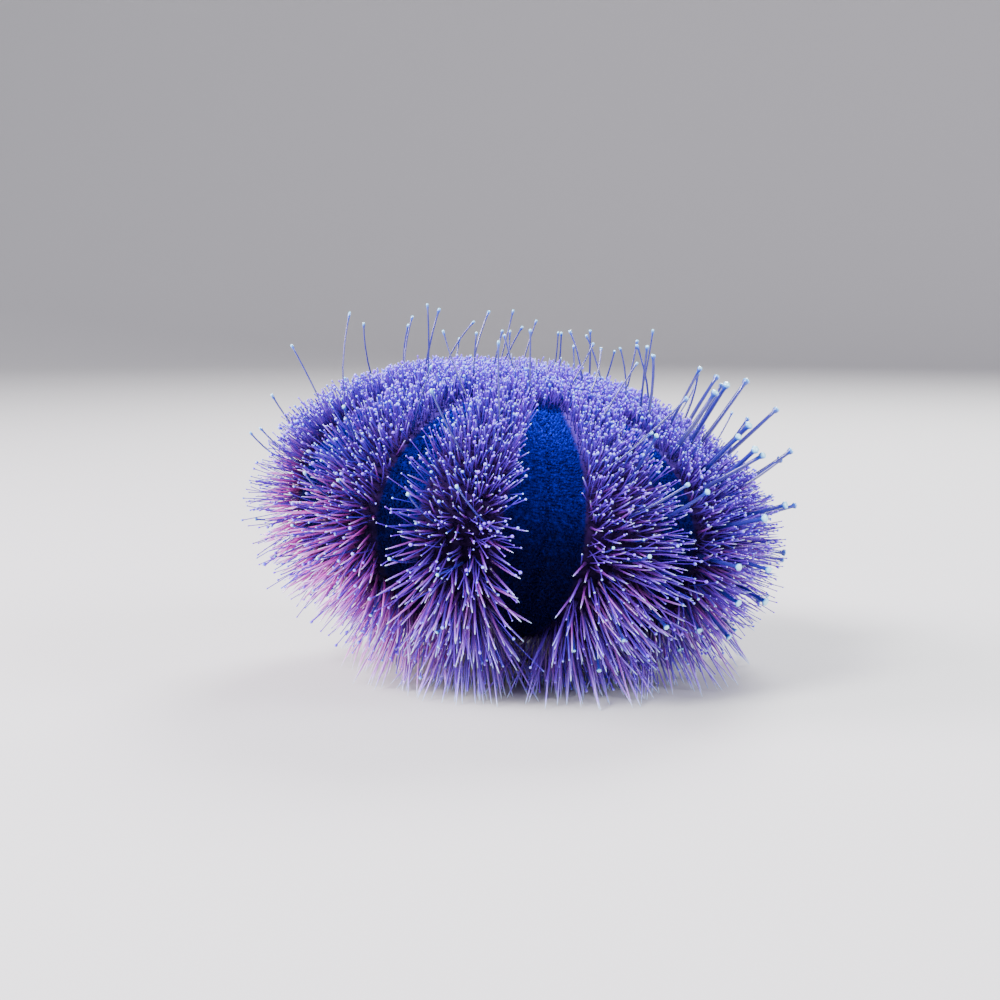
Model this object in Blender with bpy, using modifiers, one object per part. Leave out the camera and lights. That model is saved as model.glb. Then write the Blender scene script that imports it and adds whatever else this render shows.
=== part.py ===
"""A tuxedo urchin at life size, standing on the tips of its lower spines and leaning a little to one side.

The test is a low dome that is parted along its meridians into ten bare blue bands, wide and narrow in
turn, and ten bands between them that carry the spines and the tube feet. A disc of plates closes it on
top, and the mouth's membrane and teeth close it below.

World frame: +Z up, the floor at z = 0, and -Y towards the viewer. Test frame: the origin is on the axis
where the test is widest, and +Z points to its top. Sizes are in millimetres until MM makes them metres.
An angle is measured from the top of the test, and a turn is measured round its axis.
"""

import math
import random

import bmesh
import bpy
from mathutils import Matrix, Vector

MM = 0.001

# The test, which is the urchin's shell
TEST_RADIUS = 22.0
CROWN_HEIGHT = 12.6
SHOULDER_BULGE = 0.02
BASE_DEPTH = 11.4
BASE_SQUARENESS = 0.85
DISC_RADIUS = 3.1
MOUTH_RADIUS = 5.6
CORE_SHARE = 0.15
GAP = 0.3

# How it stands: the lean takes its top towards +X, and the foot of its axis is set off from the origin
# so that the middle of the whole outline is over it
LEAN = math.radians(8)
WIDEST_HEIGHT = 15.4
AXIS_OFFSET = (-0.39, -1.01)

# The bare bands: a turn from one wide band to the next, with a narrow one half way
RAYS = 5
FIRST_WIDE_BAND = math.radians(4.3)
WIDE_BAND = {"half_angle": math.radians(9.8), "top": math.radians(13), "bottom": math.radians(154)}
NARROW_BAND = {"half_angle": math.radians(5.8), "top": math.radians(17), "bottom": math.radians(149)}
BAND_FULLNESS = 0.25
BAND_END_HALF_WIDTH = 0.5
BAND_END_CLEARANCE = 0.9
BAND_END_SEARCH_STEP = math.radians(0.05)
INNER_EDGE_HALF_WIDTH = 0.18

# Rows of faces down the test, as angles from its top
ROW_ANGLES = [math.radians(angle) for angle in (26, 37, 50, 64, 77, 90, 103, 116, 129, 141)]

# How deep the root of a piece is sunk into what it grows from
SUNK = 0.9

# Lengths of the spines, each after its angle from the top in degrees
SPINE_LENGTHS = [(0, 1.7), (45, 2.3), (75, 3.4), (100, 4.7), (130, 5.8), (180, 5.0)]
# They are shorter on the shoulder on the viewer's right, by this share at most
SHORT_COAT_TURN = math.radians(68)
SHORT_COAT_SHARE = 0.35

# Spines: three sides, a shaft that narrows to its shoulder, and a point beyond it
SPINE_RADII = (0.38, 0.32)
SPINE_SHOULDER = 0.68
SPINE_LENGTH_SPREAD = 0.12
SPINE_ROW_STEP = 2.4
SPINE_COLUMN_STEP = 1.9
SPINE_EDGE_MARGIN = 0.85
SPINE_FIRST_ANGLE = math.radians(12)
SPINE_LAST_ANGLE = math.radians(161)
SPINE_DIRECTION_JITTER = math.radians(5)
SPINE_PLACE_JITTER = 0.25
# How far the spines lean at a band's left edge and at its right edge, to larger turns
SPINE_FAN = (math.radians(-20), math.radians(20))
FRONT_FANS = {
    0: (math.radians(-4), math.radians(20)),
    8: (math.radians(-4), math.radians(16)),
    9: (math.radians(-14), math.radians(22)),
}
NEIGHBOUR_CLEARANCE = 0.5
LEAN_STEP = math.radians(1)
LEAN_STEPS = 60

# Spines that point down far enough stand on the floor, and the others end above it
STANDING_SLOPE = math.cos(math.radians(48))
STANDING_LONGEST = 8.8
FLOOR_CLEARANCE = 0.6

# Tube feet: soft tubes longer than the spines, each with a round sucker on its end
FOOT_SIDES = 4
FOOT_ANGLES = [math.radians(angle) for angle in (30, 47, 64, 81, 98, 116)]
FOOT_RADIUS = 0.36
SUCKER_RADIUS = 0.62
SUCKER_LENGTH = 0.7
SUCKER_TAPER = 0.7
FOOT_TAPER = 0.85
FOOT_LENGTH = 6.8
FOOT_LENGTH_ABOVE = 2.0
FOOT_LENGTH_SPREAD = 0.6
FOOT_BEND_START = 0.45
FOOT_RISE = (math.radians(13), math.radians(32))
FOOT_SIDEWAYS = math.radians(14)
FOOT_EDGE_MARGIN = 1.1

# The disc on top: a vent in the middle, plates round it, and a short spine on each plate
PLUG_SHARE = 0.45
VENT_OUTLINE = [(0, 0.8), (0.7, 0.64), (1.1, 0.25)]
PLATE_LIFT = 0.2
PLATE_THICKNESS = 0.3
PLATE_TAPER = 0.8
LARGE_PLATE_PLACE = 1.75
LARGE_PLATE_RADIUS = 0.78
SMALL_PLATE_PLACE = 2.35
SMALL_PLATE_RADIUS = 0.5
SIEVE_PLATE = 2
SIEVE_PLATE_GROWTH = 1.25
DISC_SPINE_LENGTH = 2.4
DISC_SPINE_LENGTH_SPREAD = 0.1
DISC_SPINE_LEAN = (0.1, 0.35)

# The mouth: short feet in pairs on its membrane, and five teeth in its lips
LIP_RADIUS = 2.4
PERISTOME_OUTLINE = [(MOUTH_RADIUS, 0), (4.2, 0.35), (3.1, 0.75), (LIP_RADIUS, 0.6)]
LIP_THICKNESS = 0.22
BUCCAL_FOOT_PLACE = 3.7
BUCCAL_FOOT_LIFT = 0.35
BUCCAL_FOOT_SPLAY = 0.25
BUCCAL_FOOT_RADII = (0.32, 0.42)
BUCCAL_FOOT_TURN = math.radians(13)
BUCCAL_FOOT_LENGTH = 0.8
TOOTH_PLACE = 1.25
TOOTH_TIP_PLACE = 0.25
TOOTH_LENGTH = 1.5
TOOTH_RADII = (0.62, 0.25)

MERGE_DISTANCE = 0.00001
ROUGHNESS = 0.6

COLOURS = {
    "blue_band": (0.010, 0.045, 0.400),
    "spine_band": (0.300, 0.130, 0.420),
    "disc": (0.240, 0.100, 0.330),
    "membrane": (0.260, 0.110, 0.240),
    "teeth": (0.850, 0.830, 0.760),
}

STANCE = Matrix.Translation((*AXIS_OFFSET, WIDEST_HEIGHT)) @ Matrix.Rotation(LEAN, 4, "Y")


def profile(angle):
    """Radius and height of the test's surface."""
    if angle <= math.pi / 2:
        bulge = 1 + SHOULDER_BULGE * math.sin(2 * angle) ** 2
        return TEST_RADIUS * bulge * math.sin(angle), CROWN_HEIGHT * bulge * math.cos(angle)
    return TEST_RADIUS * math.sin(angle) ** BASE_SQUARENESS, BASE_DEPTH * math.cos(angle)


DISC_ANGLE = math.asin(DISC_RADIUS / TEST_RADIUS)
MOUTH_ANGLE = math.pi - math.asin((MOUTH_RADIUS / TEST_RADIUS) ** (1 / BASE_SQUARENESS))


def outward(turn):
    """Level direction away from the axis. A turn of 0 faces the viewer, and it grows towards +X."""
    return Vector((math.sin(turn), -math.cos(turn), 0))


def surface(angle, turn):
    radius, height = profile(angle)
    return outward(turn) * radius + Vector((0, 0, height))


def slope_of(angle):
    """Change of the profile's radius and height for each radian."""
    step = 1e-4
    (r0, z0), (r1, z1) = profile(angle - step), profile(angle + step)
    return Vector((r1 - r0, z1 - z0)) / (2 * step)


def length_per_radian(angle):
    """Length of the surface, down a meridian, for each radian."""
    return slope_of(angle).length


def downward(angle, turn):
    """Direction down the meridian, along the surface."""
    radial, vertical = slope_of(angle).normalized()
    return outward(turn) * radial + Vector((0, 0, vertical))


def normal(angle, turn):
    radial, vertical = slope_of(angle).normalized()
    return outward(turn) * -vertical + Vector((0, 0, radial))


def height_over_floor(point):
    return (STANCE @ point).z


def rise(direction):
    """How much a direction of the test frame goes up, from -1 straight down to 1 straight up."""
    return (STANCE.to_3x3() @ direction).z


class BareBand:
    """A lens-shaped bare band of the test, from near the top to near the mouth."""

    def __init__(self, number, size):
        self.number = number
        self.turn = FIRST_WIDE_BAND + number * math.pi / RAYS
        self.size = size
        self.top = self.end_angle(size["top"], 1)
        self.bottom = self.end_angle(size["bottom"], -1)

    def lens(self, angle):
        top, bottom = self.size["top"], self.size["bottom"]
        if not top < angle < bottom:
            return 0.0
        along = (angle - top) / (bottom - top)
        return self.size["half_angle"] * math.sin(math.pi * along) ** BAND_FULLNESS

    def end_angle(self, start, step_sign):
        """Where the lens is wide enough for the band's blunt end, going in from its pointed one."""
        angle = start
        while self.lens(angle) * profile(angle)[0] < BAND_END_HALF_WIDTH:
            angle += step_sign * BAND_END_SEARCH_STEP
        return angle

    def half_angle(self, angle):
        """Half of the band's turn, or 0 past its blunt ends."""
        inside = self.top - 1e-9 <= angle <= self.bottom + 1e-9
        return self.lens(angle) if inside else 0.0

    def angles_at_ends(self):
        """The band's two ends, and the angles just past them where its neighbours have closed round it."""
        above = self.top - BAND_END_CLEARANCE / length_per_radian(self.top)
        below = self.bottom + BAND_END_CLEARANCE / length_per_radian(self.bottom)
        return [above, self.top, self.bottom, below]


BARE_BANDS = [BareBand(i, NARROW_BAND if i % 2 else WIDE_BAND) for i in range(2 * RAYS)]


class SpineBand:
    """The band between two bare ones. Its right is the side of larger turns."""

    def __init__(self, number):
        self.number = number
        self.left = BARE_BANDS[number]
        self.right = BARE_BANDS[(number + 1) % len(BARE_BANDS)]
        self.left_plane = self.left.turn
        self.right_plane = self.left.turn + math.pi / RAYS

    def left_edge(self, angle):
        return self.left_plane + self.left.half_angle(angle)

    def right_edge(self, angle):
        return self.right_plane - self.right.half_angle(angle)

    def room(self, point):
        """Distance of a point from the nearer of the upright planes through the middles of the bare bands."""
        from_left = point.dot(outward(self.left_plane + math.pi / 2))
        from_right = point.dot(outward(self.right_plane - math.pi / 2))
        return min(from_left, from_right)


def row_angles():
    """Every row of faces, shared by all bands so that their edges run side by side."""
    top = DISC_ANGLE + GAP / length_per_radian(DISC_ANGLE)
    bottom = MOUTH_ANGLE - GAP / length_per_radian(MOUTH_ANGLE)
    ends = BARE_BANDS[0].angles_at_ends() + BARE_BANDS[1].angles_at_ends()
    return sorted([top, bottom, *ROW_ANGLES, *ends])


def finished(name, mesh):
    """An object from a bmesh in millimetres, which is freed."""
    bmesh.ops.scale(mesh, vec=(MM, MM, MM), verts=mesh.verts)
    bmesh.ops.recalc_face_normals(mesh, faces=mesh.faces)
    data = bpy.data.meshes.new(name)
    mesh.to_mesh(data)
    mesh.free()
    return bpy.data.objects.new(name, data)


def loft(name, sections):
    """A closed object through sections that have the same number of points each."""
    mesh = bmesh.new()
    rings = [[mesh.verts.new(point) for point in section] for section in sections]
    count = len(rings[0])
    for ring, following in zip(rings, rings[1:]):
        for i in range(count):
            j = (i + 1) % count
            mesh.faces.new((ring[i], ring[j], following[j], following[i]))
    mesh.faces.new(reversed(rings[0]))
    mesh.faces.new(rings[-1])
    return finished(name, mesh)


def largest_surface(data):
    """Leaves a mesh only the closed surface that has most faces."""
    mesh = bmesh.new()
    mesh.from_mesh(data)
    unseen = set(mesh.faces)
    islands = []
    while unseen:
        island = set()
        reached = [unseen.pop()]
        while reached:
            face = reached.pop()
            island.add(face)
            touching = {other for edge in face.edges for other in edge.link_faces if other in unseen}
            unseen -= touching
            reached.extend(touching)
        islands.append(island)
    kept = max(islands, key=len)
    dropped = [face for face in mesh.faces if face not in kept]
    bmesh.ops.delete(mesh, geom=dropped, context="FACES")
    mesh.to_mesh(data)
    mesh.free()


def grown(base, pieces):
    """The base with the pieces that grow from it joined on, as one closed body."""
    growth = bpy.data.collections.new("growth")
    for piece in pieces:
        growth.objects.link(piece)
    bpy.context.scene.collection.objects.link(base)
    union = base.modifiers.new("union", "BOOLEAN")
    union.operation = "UNION"
    union.solver = "MANIFOLD"
    union.operand_type = "COLLECTION"
    union.collection = growth
    graph = bpy.context.evaluated_depsgraph_get()
    data = bpy.data.meshes.new_from_object(base.evaluated_get(graph))
    largest_surface(data)
    body = bpy.data.objects.new(base.name + "_grown", data)
    for used in [base, *pieces]:
        bpy.data.objects.remove(used)
    bpy.data.collections.remove(growth)
    body.name = body.name.removesuffix("_grown")
    return body


def wedge_section(angle, left, right, inner_share, columns):
    """One section of a wedge of the test, from the surface in to a share of its depth.

    The sides keep half the gap from the planes at the two turns.
    """
    side = GAP / 2 / profile(angle)[0]
    turns = [left + side + (right - left - 2 * side) * i / columns for i in range(columns + 1)]
    inner_side = side / inner_share
    outer = [surface(angle, turn) for turn in turns]
    inner = [surface(angle, turn) * inner_share for turn in (right - inner_side, left + inner_side)]
    return outer + inner


def bare_band(band):
    sections = []
    for angle in row_angles():
        half = band.half_angle(angle)
        if half == 0:
            continue
        narrowest = (INNER_EDGE_HALF_WIDTH + GAP / 2) / (half * profile(angle)[0])
        share = max(CORE_SHARE, narrowest)
        sections.append(wedge_section(angle, band.turn - half, band.turn + half, share, columns=2))
    return loft(f"blue_band_{band.number + 1:02d}", sections)


def along(direction):
    """Turns +Z to a direction."""
    return direction.to_track_quat("Z", "Y").to_matrix().to_4x4()


def shaft(root, direction, length, radii, sides, twist=0.0):
    """A tapered shaft as a bmesh, with its root sunk in, and the face at its far end."""
    depth = SUNK + length
    place = Matrix.Translation(root - direction * SUNK) @ along(direction)
    place = place @ Matrix.Rotation(twist, 4, "Z") @ Matrix.Translation((0, 0, depth / 2))
    mesh = bmesh.new()
    bmesh.ops.create_cone(mesh, cap_ends=True, segments=sides, radius1=radii[0], radius2=radii[1],
                          depth=depth, matrix=place)
    end = max(mesh.faces, key=lambda face: (face.calc_center_median() - root).dot(direction))
    return mesh, end


def stub(name, root, direction, length, radii, sides):
    """A short blunt piece that tapers from one radius to another."""
    mesh, end = shaft(root, direction, length, radii, sides)
    return finished(name, mesh)


def spine(root, direction, length, twist):
    """A spine that ends in a point."""
    mesh, shoulder = shaft(root, direction, length * SPINE_SHOULDER, SPINE_RADII, 3, twist)
    point = bmesh.ops.poke(mesh, faces=[shoulder])["verts"][0]
    point.co = root + direction * length
    return finished("spine", mesh)


def standing_spine(root, direction, length, twist):
    """A spine that ends in a flat on the floor."""
    mesh, end = shaft(root, direction, length, SPINE_RADII, 3, twist)
    for vertex in end.verts:
        vertex.co -= direction * (height_over_floor(vertex.co) / rise(direction))
    return finished("spine", mesh)


def leaning(angle, turn, sideways, upwards):
    """The surface's normal, leant towards larger turns and towards the top."""
    across = outward(turn + math.pi / 2)
    up = -downward(angle, turn)
    return (normal(angle, turn) + across * math.tan(sideways) + up * math.tan(upwards)).normalized()


def kept_in(band, angle, turn, sideways, upwards, length):
    """A direction whose tip stays clear of the neighbouring spine bands, by leaning less sideways."""
    root = surface(angle, turn)
    toward_middle = math.copysign(LEAN_STEP, (band.left_plane + band.right_plane) / 2 - turn)
    direction = leaning(angle, turn, sideways, upwards)
    for _ in range(LEAN_STEPS):
        if band.room(root + direction * length) > NEIGHBOUR_CLEARANCE:
            break
        sideways += toward_middle
        direction = leaning(angle, turn, sideways, upwards)
    return direction


def spine_length(angle, turn):
    """The table's length at an angle, between its entries in proportion, less on the short shoulder."""
    degrees = math.degrees(angle)
    for (start, first), (end, last) in zip(SPINE_LENGTHS, SPINE_LENGTHS[1:]):
        if degrees <= end:
            break
    shoulder = max(0.0, math.cos(turn - SHORT_COAT_TURN)) * max(0.0, math.sin(2 * angle))
    return (first + (last - first) * (degrees - start) / (end - start)) * (1 - SHORT_COAT_SHARE * shoulder)


def spine_places(band, chance):
    """Where the band's spines stand: an angle, a turn, and a place across from -1 to 1."""
    angle = SPINE_FIRST_ANGLE
    row = 0
    while angle < SPINE_LAST_ANGLE:
        radius = profile(angle)[0]
        margin = SPINE_EDGE_MARGIN / radius
        left, right = band.left_edge(angle) + margin, band.right_edge(angle) - margin
        middle = (left + right) / 2
        span = max(0.0, right - left)
        count = 1 + int(span * radius / SPINE_COLUMN_STEP + 0.5 * (row % 2))
        for i in range(count):
            share = i / (count - 1) if count > 1 else 0.5
            turn = middle + (share - 0.5) * span + chance.uniform(-1, 1) * SPINE_PLACE_JITTER / radius
            turn = min(max(turn, middle - span / 2), middle + span / 2)
            down = angle + chance.uniform(-1, 1) * SPINE_PLACE_JITTER / length_per_radian(angle)
            yield down, turn, 2 * share - 1
        angle += SPINE_ROW_STEP / length_per_radian(angle)
        row += 1


def spines(band):
    chance = random.Random(100 + band.number)
    left_lean, right_lean = FRONT_FANS.get(band.number, SPINE_FAN)
    made = []
    for angle, turn, across in spine_places(band, chance):
        length = spine_length(angle, turn) * (1 + chance.uniform(-1, 1) * SPINE_LENGTH_SPREAD)
        spread = math.sqrt(math.sin(angle))
        fan = left_lean + (right_lean - left_lean) * (across + 1) / 2
        sideways = fan * spread + chance.uniform(-1, 1) * SPINE_DIRECTION_JITTER
        upwards = chance.uniform(-1, 1) * SPINE_DIRECTION_JITTER
        root = surface(angle, turn)
        direction = kept_in(band, angle, turn, sideways, upwards, length)
        twist = chance.uniform(0, math.tau)
        drop = -rise(direction)
        reach = height_over_floor(root) / drop if drop > 0 else math.inf
        if drop > STANDING_SLOPE and reach < STANDING_LONGEST:
            direction = kept_in(band, angle, turn, sideways, upwards, reach)
            made.append(standing_spine(root, direction, reach, twist))
        else:
            length = min(length, reach - FLOOR_CLEARANCE)
            made.append(spine(root, direction, length, twist))
    return made


def tube_foot(root, direction, bent, length):
    """A tube that starts along one direction and ends along another, with a sucker on its end."""
    first = (direction + bent).normalized()
    stations = [
        (-SUNK, direction, FOOT_RADIUS),
        (length * FOOT_BEND_START, direction, FOOT_RADIUS),
        (length - SUCKER_LENGTH, first, FOOT_RADIUS * FOOT_TAPER),
        (length - SUCKER_LENGTH / 2, first, SUCKER_RADIUS),
        (length, bent, SUCKER_RADIUS * SUCKER_TAPER),
    ]
    sections = []
    centre = root
    reached = 0.0
    for distance, way, radius in stations:
        centre = centre + way * (distance - reached)
        reached = distance
        frame = along(way)
        ring = [Vector((radius, 0, 0)) for _ in range(FOOT_SIDES)]
        for i, point in enumerate(ring):
            point.rotate(Matrix.Rotation(math.tau * (i + 0.5) / FOOT_SIDES, 3, "Z"))
        sections.append([centre + frame @ point for point in ring])
    return loft("tube_foot", sections)


def tube_feet(band):
    """The band's tube feet, in a row beside its narrow bare band."""
    chance = random.Random(200 + band.number)
    made = []
    for angle in FOOT_ANGLES:
        margin = FOOT_EDGE_MARGIN / profile(angle)[0]
        narrow_on_right = band.right.number % 2 == 1
        turn = band.right_edge(angle) - margin if narrow_on_right else band.left_edge(angle) + margin
        side = 1 if narrow_on_right else -1
        length = FOOT_LENGTH + FOOT_LENGTH_ABOVE * math.sin(2 * angle)
        length += chance.uniform(-1, 1) * FOOT_LENGTH_SPREAD
        sideways = side * chance.uniform(0, FOOT_SIDEWAYS)
        direction = kept_in(band, angle, turn, sideways, 0, length)
        bent = kept_in(band, angle, turn, sideways, chance.uniform(*FOOT_RISE), length)
        made.append(tube_foot(surface(angle, turn), direction, bent, length))
    return made


def spine_band(band):
    """A wedge of the test with all that grows from it."""
    sections = [
        wedge_section(angle, band.left_edge(angle), band.right_edge(angle), CORE_SHARE, columns=2)
        for angle in row_angles()
    ]
    base = loft(f"spine_band_{band.number + 1:02d}", sections)
    return grown(base, spines(band) + tube_feet(band))


def turned(name, outline, steps=20):
    """A solid turned round the test's axis, from radii and heights down its outer side.

    An outline that doesn't start on the axis closes on itself, and makes a ring.
    """
    data = bpy.data.meshes.new(name)
    points = [(radius * MM, 0, height * MM) for radius, height in outline]
    edges = [(i, i + 1) for i in range(len(points) - 1)]
    if outline[0][0] > 0:
        edges.append((len(points) - 1, 0))
    data.from_pydata(points, edges, [])
    solid = bpy.data.objects.new(name, data)
    screw = solid.modifiers.new("turn", "SCREW")
    screw.steps = screw.render_steps = steps
    screw.use_merge_vertices = True
    screw.merge_threshold = MERGE_DISTANCE
    return solid


def apical_disc():
    """The disc of plates round the vent, with a stem down between the bands.

    One plate to a ray is large, and one of them, the sieve plate, is larger still. Small plates lie
    between them, and each plate carries a short spine.
    """
    height = profile(DISC_ANGLE)[1]
    outline = [(radius, height + rise_over_edge) for radius, rise_over_edge in VENT_OUTLINE]
    outline += [
        (DISC_RADIUS, height),
        (DISC_RADIUS * PLUG_SHARE - GAP, height * PLUG_SHARE),
        (0, height * PLUG_SHARE),
    ]
    chance = random.Random(300)
    pieces = []
    for i in range(2 * RAYS):
        turn = FIRST_WIDE_BAND + i * math.pi / RAYS
        large = i % 2 == 0
        out = LARGE_PLATE_PLACE if large else SMALL_PLATE_PLACE
        radius = LARGE_PLATE_RADIUS if large else SMALL_PLATE_RADIUS
        if i == SIEVE_PLATE:
            radius *= SIEVE_PLATE_GROWTH
        centre = outward(turn) * out + Vector((0, 0, height + PLATE_LIFT))
        up = Vector((0, 0, 1))
        pieces.append(stub("plate", centre, up, PLATE_THICKNESS, (radius, radius * PLATE_TAPER), 5))
        lean = (up + outward(turn) * chance.uniform(*DISC_SPINE_LEAN)).normalized()
        length = DISC_SPINE_LENGTH * (1 + chance.uniform(-1, 1) * DISC_SPINE_LENGTH_SPREAD)
        pieces.append(spine(centre, lean, length, turn))
    return grown(turned("apical_disc", outline), pieces)


def peristome():
    """The membrane round the mouth, with the hole that the teeth stand in and five pairs of short feet."""
    depth = -profile(MOUTH_ANGLE)[1]
    outline = [
        (LIP_RADIUS, -depth * PLUG_SHARE),
        (LIP_RADIUS + LIP_THICKNESS, -depth * PLUG_SHARE),
        *[(radius, -depth - drop) for radius, drop in PERISTOME_OUTLINE],
    ]
    pieces = []
    for ray in range(RAYS):
        for side in (-1, 1):
            turn = FIRST_WIDE_BAND + (ray + 0.5) * math.tau / RAYS + side * BUCCAL_FOOT_TURN
            root = outward(turn) * BUCCAL_FOOT_PLACE + Vector((0, 0, -depth - BUCCAL_FOOT_LIFT))
            way = (Vector((0, 0, -1)) + outward(turn) * BUCCAL_FOOT_SPLAY).normalized()
            pieces.append(stub("buccal_foot", root, way, BUCCAL_FOOT_LENGTH, BUCCAL_FOOT_RADII, 5))
    return grown(turned("peristome", outline), pieces)


def teeth():
    """Five teeth that meet in the mouth, on the end of the jaws."""
    depth = -profile(MOUTH_ANGLE)[1]
    radius = LIP_RADIUS - GAP
    outline = [(0, -depth * PLUG_SHARE), (radius, -depth * PLUG_SHARE), (radius, -depth), (0, -depth)]
    pieces = []
    for ray in range(RAYS):
        turn = FIRST_WIDE_BAND + ray * math.tau / RAYS
        root = outward(turn) * TOOTH_PLACE + Vector((0, 0, -depth))
        way = Vector((0, 0, -1)) * TOOTH_LENGTH - outward(turn) * (TOOTH_PLACE - TOOTH_TIP_PLACE)
        pieces.append(stub("tooth", root, way.normalized(), way.length, TOOTH_RADII, 4))
    return grown(turned("teeth", outline, steps=15), pieces)


def material(name):
    """A plain material in a part's colour."""
    made = bpy.data.materials.new(name)
    made.use_nodes = True
    shader = made.node_tree.nodes["Principled BSDF"]
    shader.inputs["Base Color"].default_value = (*COLOURS[name], 1)
    shader.inputs["Roughness"].default_value = ROUGHNESS
    shader.inputs["Metallic"].default_value = 0.0
    return made


def main():
    for old in list(bpy.data.objects):
        bpy.data.objects.remove(old)
    groups = {
        "blue_band": [bare_band(band) for band in BARE_BANDS],
        "spine_band": [spine_band(SpineBand(i)) for i in range(len(BARE_BANDS))],
        "disc": [apical_disc()],
        "membrane": [peristome()],
        "teeth": [teeth()],
    }
    collection = bpy.data.collections.new("tuxedo urchin")
    bpy.context.scene.collection.children.link(collection)
    stance = bpy.data.objects.new("stance", None)
    stance.location = STANCE.translation * MM
    stance.rotation_euler = STANCE.to_euler()
    collection.objects.link(stance)
    for name, parts in groups.items():
        finish = material(name)
        for part in parts:
            part.data.materials.clear()
            part.data.materials.append(finish)
            part.parent = stance
            collection.objects.link(part)


main()
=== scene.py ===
"""The finished surface of a life-size tuxedo urchin: skin, spines, small stalks, tube feet, disc and mouth.

Lengths are in millimetres in the test's own frame, whose origin is on the axis where the test is widest.
STANCE leans them and sets them on the floor, in metres. An angle is measured from the top of the test,
and a turn is measured round its axis, from the viewer's side towards +X.
"""

import math

import bpy
import numpy as np
from mathutils import Matrix, Vector

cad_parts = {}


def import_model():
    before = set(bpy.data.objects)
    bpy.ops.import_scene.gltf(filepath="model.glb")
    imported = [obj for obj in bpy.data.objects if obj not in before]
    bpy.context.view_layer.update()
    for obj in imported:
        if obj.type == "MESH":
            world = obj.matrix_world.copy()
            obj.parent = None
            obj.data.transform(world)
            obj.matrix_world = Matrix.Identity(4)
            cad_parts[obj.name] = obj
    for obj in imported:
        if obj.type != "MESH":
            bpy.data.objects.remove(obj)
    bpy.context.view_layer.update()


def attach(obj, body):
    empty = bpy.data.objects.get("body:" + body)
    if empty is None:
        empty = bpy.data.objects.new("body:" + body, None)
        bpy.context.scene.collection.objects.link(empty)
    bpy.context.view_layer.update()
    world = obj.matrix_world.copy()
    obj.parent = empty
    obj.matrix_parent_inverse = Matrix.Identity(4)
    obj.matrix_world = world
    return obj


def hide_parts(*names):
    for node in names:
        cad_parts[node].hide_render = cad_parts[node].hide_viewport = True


MM = 0.001

# The test, as in the part's source
TEST_RADIUS = 22.0
CROWN_HEIGHT = 12.6
SHOULDER_BULGE = 0.02
BASE_DEPTH = 11.4
BASE_SQUARENESS = 0.85
DISC_RADIUS = 3.1
MOUTH_RADIUS = 5.6
LEAN = math.radians(8)
WIDEST_HEIGHT = 15.4
AXIS_OFFSET = (-0.39, -1.01)
RAYS = 5
FIRST_WIDE_BAND = math.radians(4.3)
WIDE_BAND = {"half_angle": math.radians(9.8), "top": math.radians(13), "bottom": math.radians(154)}
NARROW_BAND = {"half_angle": math.radians(5.8), "top": math.radians(17), "bottom": math.radians(149)}
BAND_FULLNESS = 0.25
LIP_RADIUS = 2.4

# Relief of the skin: it is lower on the bare bands, with a groove down each, and rippled between them
SKIN_COLUMNS = 420
SKIN_ROWS = 190
SKIN_TOP = math.radians(4)
SKIN_PAST_MOUTH = math.radians(5)
BAND_DIP = 0.25
BAND_EDGE = 0.9
PAINT_EDGE = 0.35
GROOVE_WIDTH = 0.3
GROOVE_DEPTH = 0.12
RIPPLE_HEIGHT = 0.10
RIPPLE_FREQUENCY = 62

# How roots are scattered in staggered rows, as shares of the step between them
ROW_SPACING = 0.9
JITTER_DOWN = 0.35
JITTER_ACROSS = 0.3

# How the thickness of spines and tube feet varies
THICKNESS_SPREAD = (0.85, 1.15)

# Spines, with the stations and widths along each as shares of its length and its radius
SPINE_STEP = 0.88
SPINE_TOP = math.radians(9.5)
SPINE_BOTTOM = math.radians(163)
SPINE_MARGIN = 0.25
SPINE_LENGTH_ANGLES = np.radians([0, 45, 75, 100, 130, 180])
SPINE_LENGTHS = [1.7, 2.3, 3.4, 4.7, 5.8, 5.0]
SPINE_LENGTH_SPREAD = (0.7, 1.08)
SPINE_RADIUS = 0.105
SPINE_STATIONS = [-0.12, 0.02, 0.07, 0.12, 0.45, 0.75, 0.93, 1.0]
SPINE_WIDTHS = np.array([1.2, 1.75, 1.55, 1.0, 0.92, 0.78, 0.5, 0.18])
SPINE_JITTER = math.radians(8)
SPINE_CURVE = 0.06
SPINE_CURVE_JITTER = 0.045
SPINE_CLEARANCE = 0.3

# Sideways lean at the left and right edges of a spine band, and of the bands in front, as in the photo
SPINE_FAN = (math.radians(-30), math.radians(30))
FRONT_FANS = {
    0: (math.radians(-12), math.radians(30)),
    8: (math.radians(-10), math.radians(22)),
    9: (math.radians(-18), math.radians(34)),
}
EDGE_PARTING = 0.5

# Spines steeper than this that meet the floor within this length stand on it
STANDING_SLOPE = math.cos(math.radians(48))
STANDING_LONGEST = 8.8

# Stalks: the small soft pincers and young tube feet, each with a bright bead on its end
STALK_STEP = 0.41
STALK_TOP = math.radians(9)
STALK_BOTTOM = math.radians(150)
STALK_MARGIN = 0.05
STALK_RADIUS = 0.045
STALK_JITTER = math.radians(9)
STALK_RISE = math.radians(4)
STALK_RISE_JITTER = math.radians(12)
STALK_LENGTH_SPREAD = (0.65, 1.2)
STALK_PAST_SPINES = 0.2
STALK_CURVE_JITTER = 0.07
STALK_CLEARANCE = 0.5
BEAD_RADIUS = 0.14
BEAD_SMALLEST = 0.55
BEAD_GROWTH = 0.75
LOW_STALKS = 0.12
FLANK_STALKS = 0.75

# How far the haze covers the top end of each bare band
COVERED_TOP = math.radians(16)

# The shoulder on the viewer's right, where spines and stalks are shorter
SHORT_COAT_TURN = math.radians(68)
SHORT_COAT_SHARE = 0.35

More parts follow.
